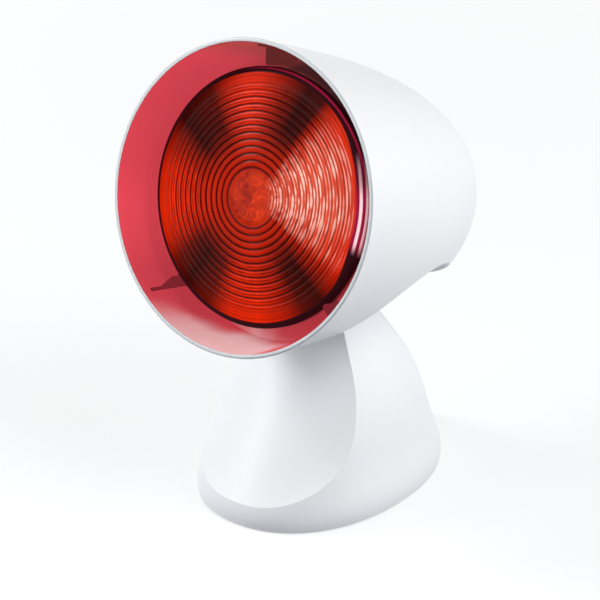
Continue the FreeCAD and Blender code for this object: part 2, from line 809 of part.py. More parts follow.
# ---------- build ----------
base_parts = {
    "base_shell": make_base_shell,
    "front_panel": make_front_panel,
    "base_plate": make_base_plate,
    "rubber_feet": make_rubber_feet,
    "base_screws": make_base_screws,
    "ballast_weight": make_ballast,
    "terminal_block": make_terminal_block,
    "cable_bush": make_cable_bush,
    "pivot_axle": make_pivot_axle,
    "axle_caps": make_axle_caps,
    "detent_plates": make_detent_plates,
}
head_parts = {
    "hood_shell": make_hood_shell,
    "front_rim": make_front_rim,
    "centring_ribs": make_centring_ribs,
    "underside_saddle": make_underside_saddle,
    "detent_balls": make_detent_balls,
    "detent_spring": make_detent_spring,
    "rear_vent_cap": make_rear_cap,
    "heat_shield": make_heat_shield,
    "holder_bracket": make_holder_bracket,
    "bracket_screws": make_bracket_screws,
    "lampholder": make_lampholder,
    "holder_sleeve": make_holder_sleeve,
    "holder_contact": make_holder_contact,
    "bulb_reflector": make_bulb_reflector,
    "bulb_lens": make_bulb_lens,
    "bulb_cap": make_bulb_cap,
    "bulb_insulator": make_bulb_insulator,
    "bulb_contact": make_bulb_contact,
    "filament_mount": make_filament_mount,
    "bulb_filament": make_filament,
}

# The origin sits under the middle of the whole lamp.
rest_radians = math.radians(rest_tilt)
front_most = rim_y - rim_radius * math.sin(rest_radians)
rear_most = rim_y + max(point.z * math.cos(rest_radians) + point.x * math.sin(rest_radians)
                        for point in hood_outline(0, hood_front, hood_length))
origin_shift = Vector(0, -(front_most + rear_most) / 2, 0)
head_frame = Placement(Vector(0, rim_y, rim_z), Rotation(X_AXIS, -(90 + rest_tilt)))

os.makedirs("parts", exist_ok=True)
print("origin shift", round(origin_shift.y, 3))
for name, make in list(base_parts.items()) + list(head_parts.items()):
    shape = make()
    if name in head_parts:
        shape = shape.transformGeometry(head_frame.toMatrix())
    shape.translate(origin_shift)
    shape.exportStep("parts/" + name + ".step")
    print(name, shape.isValid(), len(shape.Solids), round(shape.Volume / 1000, 2), "cm3")
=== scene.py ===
import bpy
import bmesh
import math
from mathutils import Matrix, Vector


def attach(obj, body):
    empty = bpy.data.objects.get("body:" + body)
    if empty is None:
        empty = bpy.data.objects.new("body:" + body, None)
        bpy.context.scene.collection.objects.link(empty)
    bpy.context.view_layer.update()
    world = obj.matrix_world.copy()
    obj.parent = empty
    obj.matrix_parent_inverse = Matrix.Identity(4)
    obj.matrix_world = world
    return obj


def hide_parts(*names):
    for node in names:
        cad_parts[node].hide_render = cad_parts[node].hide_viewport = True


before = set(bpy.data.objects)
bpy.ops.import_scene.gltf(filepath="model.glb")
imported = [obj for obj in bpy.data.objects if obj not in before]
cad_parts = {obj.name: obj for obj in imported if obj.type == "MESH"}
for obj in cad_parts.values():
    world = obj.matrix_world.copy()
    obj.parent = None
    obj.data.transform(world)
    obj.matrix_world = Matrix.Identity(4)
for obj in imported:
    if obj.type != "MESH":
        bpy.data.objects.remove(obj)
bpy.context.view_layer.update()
print("frame loaded")

mm = 0.001  # the lamp's sizes are written in millimetres, those of the stage in metres

# the head's own frame: its z runs back along the head, its y points down, and it starts at the rim
headSpec = {"tilt": 18.0, "rimCentre": (0.0, -68.42, 169.0)}


def headMatrix(spec):
    tilt = math.radians(spec["tilt"])
    c, s = math.cos(tilt), math.sin(tilt)
    turn = Matrix(((1, 0, 0), (0, -s, c), (0, -c, -s))).to_4x4()
    return Matrix.Translation(Vector(spec["rimCentre"]) * mm) @ turn


toHead = headMatrix(headSpec)
fromHead = toHead.inverted()


def headPlace(point):
    # where a point of the lamp lies in the head's frame, in millimetres
    return (fromHead @ point) / mm


def addObject(name, data):
    obj = bpy.data.objects.new(name, data)
    bpy.context.scene.collection.objects.link(obj)
    return obj


def meshObject(name, verts, faces, smooth=True):
    mesh = bpy.data.meshes.new(name)
    mesh.from_pydata([Vector(v) * mm for v in verts], [], faces)
    mesh.update()
    for poly in mesh.polygons:
        poly.use_smooth = smooth
    return addObject(name, mesh)


def fixNormals(obj):
    bm = bmesh.new()
    bm.from_mesh(obj.data)
    bmesh.ops.remove_doubles(bm, verts=bm.verts, dist=1e-7)
    bmesh.ops.recalc_face_normals(bm, faces=bm.faces)
    bm.to_mesh(obj.data)
    bm.free()


def lathe(name, profile, segments, closed=True):
    # turns (radius, depth) pairs round the head's axis; radius 0 gives a pole
    verts, faces, rows = [], [], []
    for radius, depth in profile:
        if radius < 1e-6:
            rows.append([len(verts)] * segments)
            verts.append((0, 0, depth))
            continue
        rows.append(range(len(verts), len(verts) + segments))
        for k in range(segments):
            a = 2 * math.pi * k / segments
            verts.append((radius * math.cos(a), radius * math.sin(a), depth))
    pairs = list(zip(rows, rows[1:]))
    if closed:
        pairs.append((rows[-1], rows[0]))
    for near, far in pairs:
        for k in range(segments):
            n = (k + 1) % segments
            ring = [near[k], near[n], far[n], far[k]]
            face = [v for i, v in enumerate(ring) if v != ring[i - 1]]
            if len(face) > 2:
                faces.append(face)
    obj = meshObject(name, verts, faces)
    fixNormals(obj)
    obj.data.transform(toHead)
    return obj


def roundedCorner(radius, depth, size, steps):
    # quarter round from a front face at this depth to a side at this radius
    angles = [0.5 * math.pi * k / steps for k in range(1, steps + 1)]
    return [(radius - size * (1 - math.sin(a)), depth + size * (1 - math.cos(a))) for a in angles]


def useObject(obj):
    bpy.ops.object.select_all(action="DESELECT")
    bpy.context.view_layer.objects.active = obj
    obj.select_set(True)


def smoothByAngle(obj, degrees):
    useObject(obj)
    bpy.ops.object.shade_smooth_by_angle(angle=math.radians(degrees))


def applyModifier(obj, kind, **settings):
    useObject(obj)
    mod = obj.modifiers.new(kind.lower(), kind)
    for key, value in settings.items():
        setattr(mod, key, value)
    bpy.ops.object.modifier_apply(modifier=mod.name)


def weighNormals(obj):
    # large faces keep their own normals, so thin bevels carry the turn
    applyModifier(obj, "WEIGHTED_NORMAL", mode="FACE_AREA", weight=90, keep_sharp=True)


def cutWith(obj, tool, operation="DIFFERENCE"):
    # the tool is used up by the cut
    applyModifier(obj, "BOOLEAN", operation=operation, solver="EXACT", object=tool)
    mesh = tool.data
    bpy.data.objects.remove(tool)
    bpy.data.meshes.remove(mesh)


def bevelEdges(obj, width, segments, degrees=None):
    # without an angle, the weights on the edges say which of them are rounded
    settings = {"width": width * mm, "segments": segments, "limit_method": "WEIGHT"}
    if degrees is not None:
        settings.update(limit_method="ANGLE", angle_limit=math.radians(degrees))
    applyModifier(obj, "BEVEL", **settings)


def newMaterial(name):
    mat = bpy.data.materials.new(name)
    mat.use_nodes = True
    tree = mat.node_tree
    return mat, tree, tree.nodes["Principled BSDF"]


def setMaterial(obj, mat):
    obj.data.materials.clear()
    obj.data.materials.append(mat)


def feed(tree, socket, value):
    # a number, colour or vector is set on the socket; the output of another node is linked to it
    if isinstance(value, bpy.types.NodeSocket):
        tree.links.new(value, socket)
    elif socket.type == "RGBA":
        socket.default_value = (*value, 1)
    else:
        socket.default_value = value


def feedShader(tree, shader, values):
    for name, value in values.items():
        feed(tree, shader.inputs[name], value)


def addNode(tree, kind, *values, **settings):
    # values fill the inputs in their order; a setting goes to the input of its name, or to the node
    node = tree.nodes.new(kind)
    for key, value in settings.items():
        if key in node.inputs:
            feed(tree, node.inputs[key], value)
        else:
            setattr(node, key, value)
    for socket, value in zip(node.inputs, values):
        feed(tree, socket, value)
    return node


def mathNode(tree, operation, *values):
    # three or more values are taken one after the other
    if len(values) > 2:
        values = (mathNode(tree, operation, *values[:-1]), values[-1])
    return addNode(tree, "ShaderNodeMath", *values, operation=operation).outputs[0]


def noiseNode(tree, place, **settings):
    return addNode(tree, "ShaderNodeTexNoise", Vector=place, **settings).outputs["Fac"]


def swing(tree, noise, width):
    # the noise as a drift of this width, half of it to either side
    return mathNode(tree, "MULTIPLY", mathNode(tree, "SUBTRACT", noise, 0.5), width)


def rampNode(tree, value, stops, smooth=True):
    # stops are (position, colour) pairs, where a single number stands for a grey
    node = addNode(tree, "ShaderNodeValToRGB", value)
    ramp = node.color_ramp
    ramp.interpolation = "EASE" if smooth else "LINEAR"
    while len(ramp.elements) < len(stops):
        ramp.elements.new(0.5)
    for element, stop in zip(ramp.elements, stops):
        element.position = stop[0]
    for element, stop in zip(ramp.elements, stops):
        colour = stop[1] if isinstance(stop[1], tuple) else (stop[1],) * 3
        element.color = (*colour, 1)
    return node.outputs["Color"]


def mixColour(tree, factor, first, second, blend="MIX"):
    node = addNode(tree, "ShaderNodeMix", data_type="RGBA", blend_type=blend)
    for index, value in ((0, factor), (6, first), (7, second)):  # the sockets of a colour mix
        feed(tree, node.inputs[index], value)
    return node.outputs[2]


def addGloss(tree, shader, noise, roughness):
    # the roughness wanders between its two limits
    low, high = roughness
    gloss = addNode(tree, "ShaderNodeMapRange", noise, **{"To Min": low, "To Max": high})
    feed(tree, shader.inputs["Roughness"], gloss.outputs["Result"])


def addBump(tree, shader, noise, strength, depth=0.0002):
    bump = addNode(tree, "ShaderNodeBump", Strength=strength, Distance=depth, Height=noise)
    feed(tree, shader.inputs["Normal"], bump.outputs["Normal"])


def makeFinish(name, look):
    # moulded or machined surface: faint colour drift, fine gloss variation and a soft orange peel
    mat, tree, shader = newMaterial(name)
    place = addNode(tree, "ShaderNodeTexCoord").outputs["Object"]
    broad = noiseNode(tree, place, Scale=look["driftScale"], Detail=3.0)
    fine = noiseNode(tree, place, Scale=look["grainScale"], Detail=6.0)
    tone = rampNode(tree, broad, [(0.3, look["dark"]), (0.7, look["light"])], smooth=False)
    feedShader(tree, shader, {
        "Base Color": tone, "Metallic": look.get("metallic", 0.0), "Coat Weight": look.get("coat", 0.0),
        "Coat Roughness": look.get("coatRoughness", 0.1)})
    addGloss(tree, shader, fine, look["roughness"])
    addBump(tree, shader, fine, look["bump"])
    return mat


# finishes shared by several pieces; the two numbers of a roughness are its limits
finishLooks = {
    "whiteGloss": {"dark": (0.80, 0.81, 0.83), "light": (0.84, 0.85, 0.86), "driftScale": 9.0,
                   "grainScale": 900.0, "roughness": (0.29, 0.35), "bump": 0.04, "coat": 0.10,
                   "coatRoughness": 0.15},
    "whiteSatin": {"dark": (0.79, 0.80, 0.82), "light": (0.83, 0.84, 0.86), "driftScale": 8.0,
                   "grainScale": 1100.0, "roughness": (0.38, 0.46), "bump": 0.06},
    "plateGrey": {"dark": (0.55, 0.55, 0.56), "light": (0.62, 0.62, 0.63), "driftScale": 12.0,
                  "grainScale": 700.0, "roughness": (0.49, 0.61), "bump": 0.15},
    "rubberDark": {"dark": (0.02, 0.02, 0.02), "light": (0.045, 0.045, 0.045), "driftScale": 60.0,
                   "grainScale": 900.0, "roughness": (0.67, 0.83), "bump": 0.3},
    "rubberPale": {"dark": (0.62, 0.62, 0.63), "light": (0.68, 0.68, 0.69), "driftScale": 60.0,
                   "grainScale": 900.0, "roughness": (0.52, 0.68), "bump": 0.2},
    "steel": {"dark": (0.42, 0.42, 0.43), "light": (0.58, 0.58, 0.59), "driftScale": 120.0,
              "grainScale": 1500.0, "roughness": (0.24, 0.44), "bump": 0.1, "metallic": 1.0},
    "castIron": {"dark": (0.05, 0.05, 0.055), "light": (0.09, 0.09, 0.09), "driftScale": 90.0,
                 "grainScale": 500.0, "roughness": (0.60, 0.80), "bump": 0.5, "metallic": 0.6},
    "brass": {"dark": (0.55, 0.40, 0.14), "light": (0.68, 0.52, 0.22), "driftScale": 100.0,
              "grainScale": 1200.0, "roughness": (0.22, 0.38), "bump": 0.08, "metallic": 1.0},
    "porcelain": {"dark": (0.78, 0.75, 0.68), "light": (0.85, 0.83, 0.78), "driftScale": 30.0,
                  "grainScale": 800.0, "roughness": (0.34, 0.46), "bump": 0.08},
    "blackGlass": {"dark": (0.01, 0.01, 0.012), "light": (0.02, 0.02, 0.022), "driftScale": 80.0,
                   "grainScale": 900.0, "roughness": (0.09, 0.15), "bump": 0.02},
}
finish = {name: makeFinish(name, look) for name, look in finishLooks.items()}
print("finishes done")


def headCoords(tree):
    # the place in the head's frame in millimetres, and its parts across, down and back
    coords = addNode(tree, "ShaderNodeTexCoord")
    place = addNode(tree, "ShaderNodeMapping", coords.outputs["Object"], vector_type="TEXTURE",
                    Location=toHead.to_translation(), Rotation=toHead.to_euler("XYZ"), Scale=(mm, mm, mm))
    split = addNode(tree, "ShaderNodeSeparateXYZ", place.outputs["Vector"])
    return place.outputs["Vector"], *split.outputs


def headAngle(tree, across, down):
    # 0..1 round the head: 0.25 at its lowest point, 0.5 at the lamp's own left, 0.75 on top
    turn = mathNode(tree, "ARCTAN2", mathNode(tree, "MULTIPLY", down, -1.0), across)
    return mathNode(tree, "ADD", mathNode(tree, "DIVIDE", turn, 2 * math.pi), 0.5)


def lengthOf(tree, first, second):
    squares = [mathNode(tree, "MULTIPLY", part, part) for part in (first, second)]
    return mathNode(tree, "SQRT", mathNode(tree, "ADD", *squares))


# the hood: a bell of revolution, cut by a round arch where it passes the neck
hoodSpec = {"radius": 72.9, "length": 165.9, "shape": (0.605, 0.515, 0.069), "wall": 1.8, "front": 2.2,
            "rear": 150.8, "archBack": 96.7, "archDown": 82.1, "archRadius": 61.6, "edge": 0.5,
            "rows": 60, "segments": 192, "archLength": 240.0, "archSegments": 256}
archCentre = toHead @ (Vector((0, hoodSpec["archDown"], hoodSpec["archBack"])) * mm)

# the hood's inner wall, painted as if lit red by the bulb, with painted pale daylight and painted shade; the
# lists are ramps
wallLook = {
    "red": (0.62, 0.055, 0.077), "pale": (0.78, 0.47, 0.48), "shadeBrown": (0.30, 0.055, 0.050),
    "shadow": (0.035, 0.006, 0.008), "behind": (0.70, 0.70, 0.71), "glow": 0.74, "body": 0.4,
    "roughness": (0.26, 0.34), "specular": 0.3, "bump": 0.05, "shade": 1.5, "drift": 0.05,
    "paleReach": 60.0, "paleFade": 18.0, "strip": 1.6, "depthUnit": 120.0,
    # by the angle round the head
    "paleSide": [(0.150, 0.0), (0.167, 0.25), (0.208, 0.8), (0.250, 1.0), (0.300, 1.0), (0.335, 0.0)],
    "paleLimit": [(0.150, 0.08), (0.208, 0.36), (0.255, 0.56), (0.290, 0.45), (0.330, 0.15)],
    # painted shade: the upper wall darkens from the lamp's own left over the top
    "shadeBrownSide": [(0.56, 0.0), (0.62, 1.0), (0.73, 1.0), (0.80, 0.75), (0.86, 0.0)],
    "shadowSide": [(0.40, 0.0), (0.55, 1.0), (0.66, 0.95), (0.74, 0.35), (0.765, 0.0)],
    "redShare": [(0.0, 0.79), (0.042, 0.87), (0.083, 0.79), (0.120, 0.65), (0.210, 0.62), (0.300, 0.59),
                 (0.400, 0.66), (0.780, 0.72), (0.833, 0.86), (0.880, 0.81), (1.0, 0.79)],
    # by the depth from the rim, in depth units
    "depthShare": [(0.0, 1.0), (0.25, 0.96), (0.5, 0.66)],
    "pastMirror": [(0.42, 0.0), (0.60, 1.0)],
}


def fillWall(tree, shader, look):
    # painted light: white plastic given the colour and glow of the bulb's red light, and painted pale where
    # daylight reaches in at the lower lip
    place, across, down, depth = headCoords(tree)
    angle = headAngle(tree, across, down)
    drift = noiseNode(tree, place, Scale=0.05, Detail=3.0)
    turn = mathNode(tree, "ADD", angle, swing(tree, drift, look["drift"]))
    reach = mathNode(tree, "MULTIPLY", rampNode(tree, turn, look["paleLimit"]), look["paleReach"])
    near = mathNode(tree, "DIVIDE", mathNode(tree, "SUBTRACT", reach, depth), look["paleFade"])
    near = rampNode(tree, mathNode(tree, "ADD", near, 0.5), [(0.0, 0.0), (1.0, 1.0)])
    pale = mathNode(tree, "MULTIPLY", rampNode(tree, turn, look["paleSide"]), near)
    # painted shade over the upper wall, and a painted shadow on its upper part at the lamp's own left
    colour = mixColour(tree, rampNode(tree, angle, look["shadeBrownSide"]), look["red"], look["shadeBrown"])
    colour = mixColour(tree, rampNode(tree, angle, look["shadowSide"]), colour, look["shadow"])
    colour = mixColour(tree, pale, colour, look["pale"])
    # the painted red light fades with depth, and more of it is painted on the lamp's right side of the wall
    inwards = mathNode(tree, "DIVIDE", depth, look["depthUnit"])
    share = rampNode(tree, angle, look["redShare"], smooth=False)
    light = mathNode(tree, "MULTIPLY", rampNode(tree, inwards, look["depthShare"]), share, look["shade"])
    colour = mixColour(tree, 1.0, colour, light, "MULTIPLY")
    # none of it reaches past the bulb's mirror, nor the strip that the saddle's border covers
    fromArch = lengthOf(tree, mathNode(tree, "SUBTRACT", down, hoodSpec["archDown"]),
                        mathNode(tree, "SUBTRACT", depth, hoodSpec["archBack"]))
    strip = mathNode(tree, "LESS_THAN", fromArch, hoodSpec["archRadius"] + look["strip"])
    plain = mathNode(tree, "MAXIMUM", rampNode(tree, inwards, look["pastMirror"]), strip)
    body = mixColour(tree, look["body"], (0, 0, 0), colour)
    glow = mathNode(tree, "MULTIPLY", mathNode(tree, "SUBTRACT", 1.0, plain), look["glow"])
    feedShader(tree, shader, {
        "Base Color": mixColour(tree, plain, body, look["behind"]), "Emission Color": colour,
        "Emission Strength": glow, "Specular IOR Level": look["specular"]})
    fine = noiseNode(tree, place, Scale=0.9, Detail=6.0)
    addGloss(tree, shader, fine, look["roughness"])
    addBump(tree, shader, fine, look["bump"])


def makeGlowWall(name, look):
    mat, tree, shader = newMaterial(name)
    fillWall(tree, shader, look)
    return mat


def makeSaddleSkin(look, outside):
    # faces turned away from the arch's centre line take the hood wall's painted red light and painted shade,
    # the others are plain white
    mat = makeFinish("saddleSkin", outside)
    tree = mat.node_tree
    glowing = addNode(tree, "ShaderNodeBsdfPrincipled")
    fillWall(tree, glowing, look)
    coords = addNode(tree, "ShaderNodeTexCoord").outputs
    offset = addNode(tree, "ShaderNodeVectorMath", coords["Object"], archCentre, operation="SUBTRACT")
    flat = addNode(tree, "ShaderNodeVectorMath", offset.outputs["Vector"], (0, 1, 1), operation="MULTIPLY")
    facing = addNode(tree, "ShaderNodeVectorMath", coords["Normal"], flat.outputs["Vector"],
                     operation="DOT_PRODUCT")
    away = mathNode(tree, "GREATER_THAN", facing.outputs["Value"], 0.0)
    plain = tree.nodes["Principled BSDF"]
    mixed = addNode(tree, "ShaderNodeMixShader", away, plain.outputs[0], glowing.outputs[0])
    feed(tree, tree.nodes["Material Output"].inputs["Surface"], mixed.outputs[0])
    return mat


finish["glowWall"] = makeGlowWall("glowWall", wallLook)
# the ribs take the wall's painted red light, dimmed further as painted shade
finish["ribWall"] = makeGlowWall("ribWall", dict(wallLook, shade=0.69, body=0.0, specular=0.0))
finish["saddleSkin"] = makeSaddleSkin(wallLook, finishLooks["whiteSatin"])


def hoodRadius(spec, s):
    # outer radius at the depth s
    a, b, c = spec["shape"]
    u = min(max(s / spec["length"], 0.0), 1.0)
    return spec["radius"] * math.sqrt(max((1 - u) * (1 + a * u + b * u ** 2 + c * u ** 3), 0.0))


def hoodCurve(spec, offset):
    # the bell's outline, moved inwards by the offset, with both ends square to the axis
    a, b, c = spec["shape"]
    points = []
    for k in range(spec["rows"] + 1):
        s = spec["front"] + (spec["rear"] - spec["front"]) * math.sin(0.5 * math.pi * k / spec["rows"])
        u = min(s / spec["length"], 1.0)
        radius = hoodRadius(spec, s)
        slope = -(1 - a + 2 * u * (a - b) + 3 * u * u * (b - c) + 4 * u ** 3 * c)
        slope *= spec["radius"] ** 2 / (2 * max(radius, 0.5) * spec["length"])
        span = math.hypot(1, slope)
        points.append((max(radius - offset / span, 0.0), s + offset * slope / span))
    points[0] = (points[0][0], spec["front"])
    points[-1] = (points[-1][0], spec["rear"])
    return points


def archTool(spec):
    # a round bar that lies across the lamp
    bm = bmesh.new()
    bmesh.ops.create_cone(bm, cap_ends=True, segments=spec["archSegments"], radius1=spec["archRadius"] * mm,
                          radius2=spec["archRadius"] * mm, depth=spec["archLength"] * mm)
    mesh = bpy.data.meshes.new("archTool")
    bm.to_mesh(mesh)
    bm.free()
    obj = addObject("archTool", mesh)
    lying = Vector((1, 0, 0)).to_track_quat("Z", "Y").to_matrix().to_4x4()
    obj.matrix_world = Matrix.Translation(archCentre) @ lying
    return obj


def roundOuterEdges(obj, spec):
    # the arch and both ends are rounded on the outside only, so the saddle meets a sharp inner edge
    skin, close, touching = 0.3, 0.05, 0.01  # how near a point lies to the outside, the arch and an end
    points = [headPlace(v.co) for v in obj.data.vertices]
    outside = [math.hypot(p.x, p.y) > hoodRadius(spec, p.z) - skin for p in points]
    fromArch = [math.hypot(p.y - spec["archDown"], p.z - spec["archBack"]) for p in points]
    border = [abs(reach - spec["archRadius"]) < close for reach in fromArch]
    ends = [min(abs(p.z - spec["front"]), abs(p.z - spec["rear"])) < touching for p in points]
    weights = obj.data.attributes.new("bevel_weight_edge", "FLOAT", "EDGE")
    for edge in obj.data.edges:
        a, b = edge.vertices
        rounded = outside[a] and outside[b] and ((border[a] and border[b]) or (ends[a] and ends[b]))
        weights.data[edge.index].value = float(rounded)
    bevelEdges(obj, spec["edge"], segments=2)


outer, inner = hoodCurve(hoodSpec, 0), hoodCurve(hoodSpec, hoodSpec["wall"])
hood = lathe("hood", outer + inner[::-1], hoodSpec["segments"])
cutWith(hood, archTool(hoodSpec))
roundOuterEdges(hood, hoodSpec)
smoothByAngle(hood, 35)
weighNormals(hood)
setMaterial(hood, finish["whiteGloss"])
# the inner faces take the wall's painted red light and painted shade
hood.data.materials.append(finish["glowWall"])
for poly in hood.data.polygons:
    local = headPlace(poly.center)
    inside = hoodRadius(hoodSpec, local.z) - 0.6 * hoodSpec["wall"]  # just past the middle of the wall
    poly.material_index = int(math.hypot(local.x, local.y) < inside)
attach(hood, "head")
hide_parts("hood_shell")
print("hood done")

# the front rim lip: chamfered at the mouth, rounded outside, and greyer on its face as painted shade
rimSpec = {"radius": 73.4, "round": 0.9, "roundSteps": 6, "depth": 2.2, "inner": 70.9, "mouth": 71.45,
           "chamfer": 0.15, "taper": 0.25, "segments": 256,
           "dark": (0.50, 0.54, 0.56), "light": (0.54, 0.58, 0.60)}


def rimProfile(spec):
    front = [(spec["mouth"], spec["chamfer"]), (spec["mouth"] + spec["chamfer"], 0.0),
             (spec["radius"] - spec["round"], 0.0)]
    corner = roundedCorner(spec["radius"], 0.0, spec["round"], spec["roundSteps"])
    return front + corner + [(spec["radius"] - spec["taper"], spec["depth"]), (spec["inner"], spec["depth"])]


# painted shade: the rim's face is a greyer copy of the white gloss
finish["rimShadeGrey"] = makeFinish("rimShadeGrey", dict(finishLooks["whiteGloss"], dark=rimSpec["dark"],
                                               light=rimSpec["light"]))
rim = lathe("rimLip", rimProfile(rimSpec), rimSpec["segments"])
smoothByAngle(rim, 50)
weighNormals(rim)
setMaterial(rim, finish["whiteGloss"])
# the faces inside the mouth take the wall's painted red light and painted shade
rim.data.materials.append(finish["glowWall"])
rim.data.materials.append(finish["rimShadeGrey"])
for poly in rim.data.polygons:
    local = headPlace(poly.center)
    if math.hypot(local.x, local.y) < rimSpec["mouth"] - 0.05:
        poly.material_index = 1
    elif local.z < 0.5 * rimSpec["round"]:
        poly.material_index = 2
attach(rim, "head")
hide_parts("front_rim")
print("rim done")

# the bulb's domed face with its raised rings
bulbSpec = {"radius": 60.5, "front": 15.5, "crown": 6.2, "shape": 2.6, "thickness": 3.2, "firstRing": 14.0,
            "rings": 12, "pitch": 3.24, "ridge": 0.45, "ringSteps": 6, "middleSteps": 7, "borderSteps": 4,
            "round": 1.6, "roundSteps": 5, "segments": 256}

# its red glass, with painted reflections and painted highlights; the lists are ramps
glassLook = {
    "bright": (0.72, 0.020, 0.001), "dark": (0.014, 0.0013, 0.0008), "middle": (0.72, 0.040, 0.004),
    "middleDark": (0.26, 0.010, 0.004), "wedgeFree": (0.80, 0.80, 0.80), "flare": (0.84, 0.46, 0.38),
    "wash": (0.70, 0.11, 0.060), "border": (0.020, 0.003, 0.005), "borderFlare": (0.95, 0.66, 0.70),
    "glintLine": (0.30, 0.008, 0.040), "glow": 0.50, "roughness": (0.15, 0.28), "specular": 0.025, "bump": 0.12,
    "line": 0.93, "wobble": 0.25, "streakTurns": 40.0, "streakRise": 0.9, "washShare": 0.55,
    "flareTurns": 26.0, "flareStep": 7.3, "flareSwing": 1.5, "edge": 57.4, "edgeWidth": 6.0, "bulge": 2.8,
    "glintLineRadius": 59.6,
    # by the angle round the head; the low stretches of the wedges are dark, a painted reflection of the
    # mirror behind the glass
    "wedges": [(0.0, 0.80), (0.060, 0.90), (0.095, 0.62), (0.125, 0.14), (0.160, 0.02), (0.205, 0.16),
               (0.240, 0.80), (0.290, 0.95), (0.330, 0.55), (0.362, 0.10), (0.392, 0.03), (0.416, 0.40),
               (0.445, 0.95), (0.500, 1.0), (0.630, 1.0), (0.662, 0.55), (0.676, 0.05), (0.705, 0.02),
               (0.738, 0.28), (0.780, 0.85), (0.805, 0.95), (0.835, 0.60), (0.865, 0.10), (0.925, 0.02),
               (0.958, 0.35), (1.0, 0.80)],
    "middleSide": [(0.20, 0.0), (0.42, 0.45), (0.60, 0.45), (0.82, 0.0)],
    "flareSide": [(0.425, 0.0), (0.460, 0.45), (0.510, 1.0), (0.600, 1.0), (0.640, 0.25), (0.665, 0.0)],
    "borderSide": [(0.465, 0.0), (0.485, 1.0), (0.53, 1.0), (0.565, 0.35), (0.60, 0.0)],
    "bulgeSide": [(0.40, 0.0), (0.49, 1.0), (0.54, 1.0), (0.66, 0.0)],
    "glintLineSide": [(0.55, 0.0), (0.60, 1.0), (0.75, 0.8), (0.82, 0.0)],
    # by the radius, as a share of the one where the dark border starts
    "wedgeReach": [(0.26, 0.0), (0.66, 1.0)],
    "middleEnd": [(0.17, 0.0), (0.25, 1.0)],
    "fall": [(0.24, 0.58), (0.45, 0.66), (0.70, 0.88), (0.80, 0.95), (0.93, 0.84)],
    "lineBand": [(0.17, 0.0), (0.235, 0.9), (0.45, 1.0), (0.80, 0.9), (0.89, 0.5), (0.95, 0.25)],
    "hairBand": [(0.42, 0.1), (0.60, 0.75), (0.88, 0.7), (0.97, 0.15)],
    "flareBand": [(0.14, 0.0), (0.27, 0.75), (0.50, 1.0), (0.78, 1.0), (0.90, 0.5), (0.97, 0.15)],
    # across a ring line, a hairline, a painted highlight flare, the dark border and its painted glint line
    "lineShape": [(0.07, 1.0), (0.27, 0.0)],
    "hairShape": [(0.05, 1.0), (0.17, 0.0)],
    "flareShape": [(0.28, 0.0), (0.50, 1.0)],
    "borderStart": [(0.0, 0.0), (0.10, 1.0)],
    "borderRings": [(0.28, 0.0), (0.36, 1.0), (0.52, 1.0), (0.60, 0.0), (0.76, 0.0), (0.82, 0.8),
                    (0.90, 0.8), (0.96, 0.1)],
    "glintLineShape": [(0.2, 1.0), (0.6, 0.0)],
    # by the strength of the noise
    "hairBreaks": [(0.35, 0.35), (0.60, 1.0)],
    "mottle": [(0.38, 0.0), (0.62, 0.55)],
}


def litGlass(tree, look, place, share, angle):
    # a mottled middle that is painted brighter on the lamp's own left, red glass round it whose brightness
    # changes with the radius, and the dark wedges of a painted reflection of the mirror
    mottle = noiseNode(tree, place, Scale=0.16, Detail=3.0, Roughness=0.55, Distortion=1.2)
    mottle = rampNode(tree, mottle, look["mottle"])
    lit = mathNode(tree, "ADD", mottle, rampNode(tree, angle, look["middleSide"]))
    middle = mixColour(tree, lit, look["middleDark"], look["middle"])
    bright = mixColour(tree, 1.0, look["bright"], rampNode(tree, share, look["fall"]), "MULTIPLY")
    colour = mixColour(tree, rampNode(tree, share, look["middleEnd"]), middle, bright)
    wedges = rampNode(tree, angle, look["wedges"], smooth=False)
    wedges = mixColour(tree, rampNode(tree, share, look["wedgeReach"]), look["wedgeFree"], wedges)
    return mixColour(tree, wedges, look["dark"], colour)


def ringLines(tree, look, phase, share, streaks):
    # one dark line at each ring, and broken hairlines between them that grow stronger outwards
    shaken = mathNode(tree, "ADD", phase, swing(tree, streaks, look["wobble"]))
    line = rampNode(tree, mathNode(tree, "PINGPONG", shaken, 0.5), look["lineShape"])
    line = mathNode(tree, "MULTIPLY", line, rampNode(tree, share, look["lineBand"]), look["line"])
    between = mathNode(tree, "PINGPONG", mathNode(tree, "ADD", shaken, 0.5), 0.5)
    hair = mathNode(tree, "MULTIPLY", rampNode(tree, between, look["hairShape"]),
                    rampNode(tree, share, look["hairBand"]), rampNode(tree, streaks, look["hairBreaks"]))
    return mathNode(tree, "MAXIMUM", line, hair)


def addFlares(tree, look, colour, phase, share, angle):
    # painted highlights: a pale wash with broken flares on the lamp's own left, two rows of them to a ring
    side = rampNode(tree, angle, look["flareSide"])
    band = rampNode(tree, share, look["flareBand"])
    rows = mathNode(tree, "MULTIPLY", phase, 2.0)
    spot = addNode(tree, "ShaderNodeCombineXYZ", mathNode(tree, "MULTIPLY", angle, look["flareTurns"]),
                   mathNode(tree, "MULTIPLY", mathNode(tree, "FLOOR", rows), look["flareStep"]))
    spindles = noiseNode(tree, spot.outputs[0], Scale=1.0, Detail=1.5, Roughness=0.5)
    ridge = mathNode(tree, "PINGPONG", rows, 0.5)
    ridge = mathNode(tree, "ADD", ridge, swing(tree, spindles, look["flareSwing"]))
    flares = mathNode(tree, "MULTIPLY", side, rampNode(tree, ridge, look["flareShape"]), band)
    wash = mathNode(tree, "MULTIPLY", side, band, look["washShare"])
    return mixColour(tree, flares, mixColour(tree, wash, colour, look["wash"]), look["flare"])


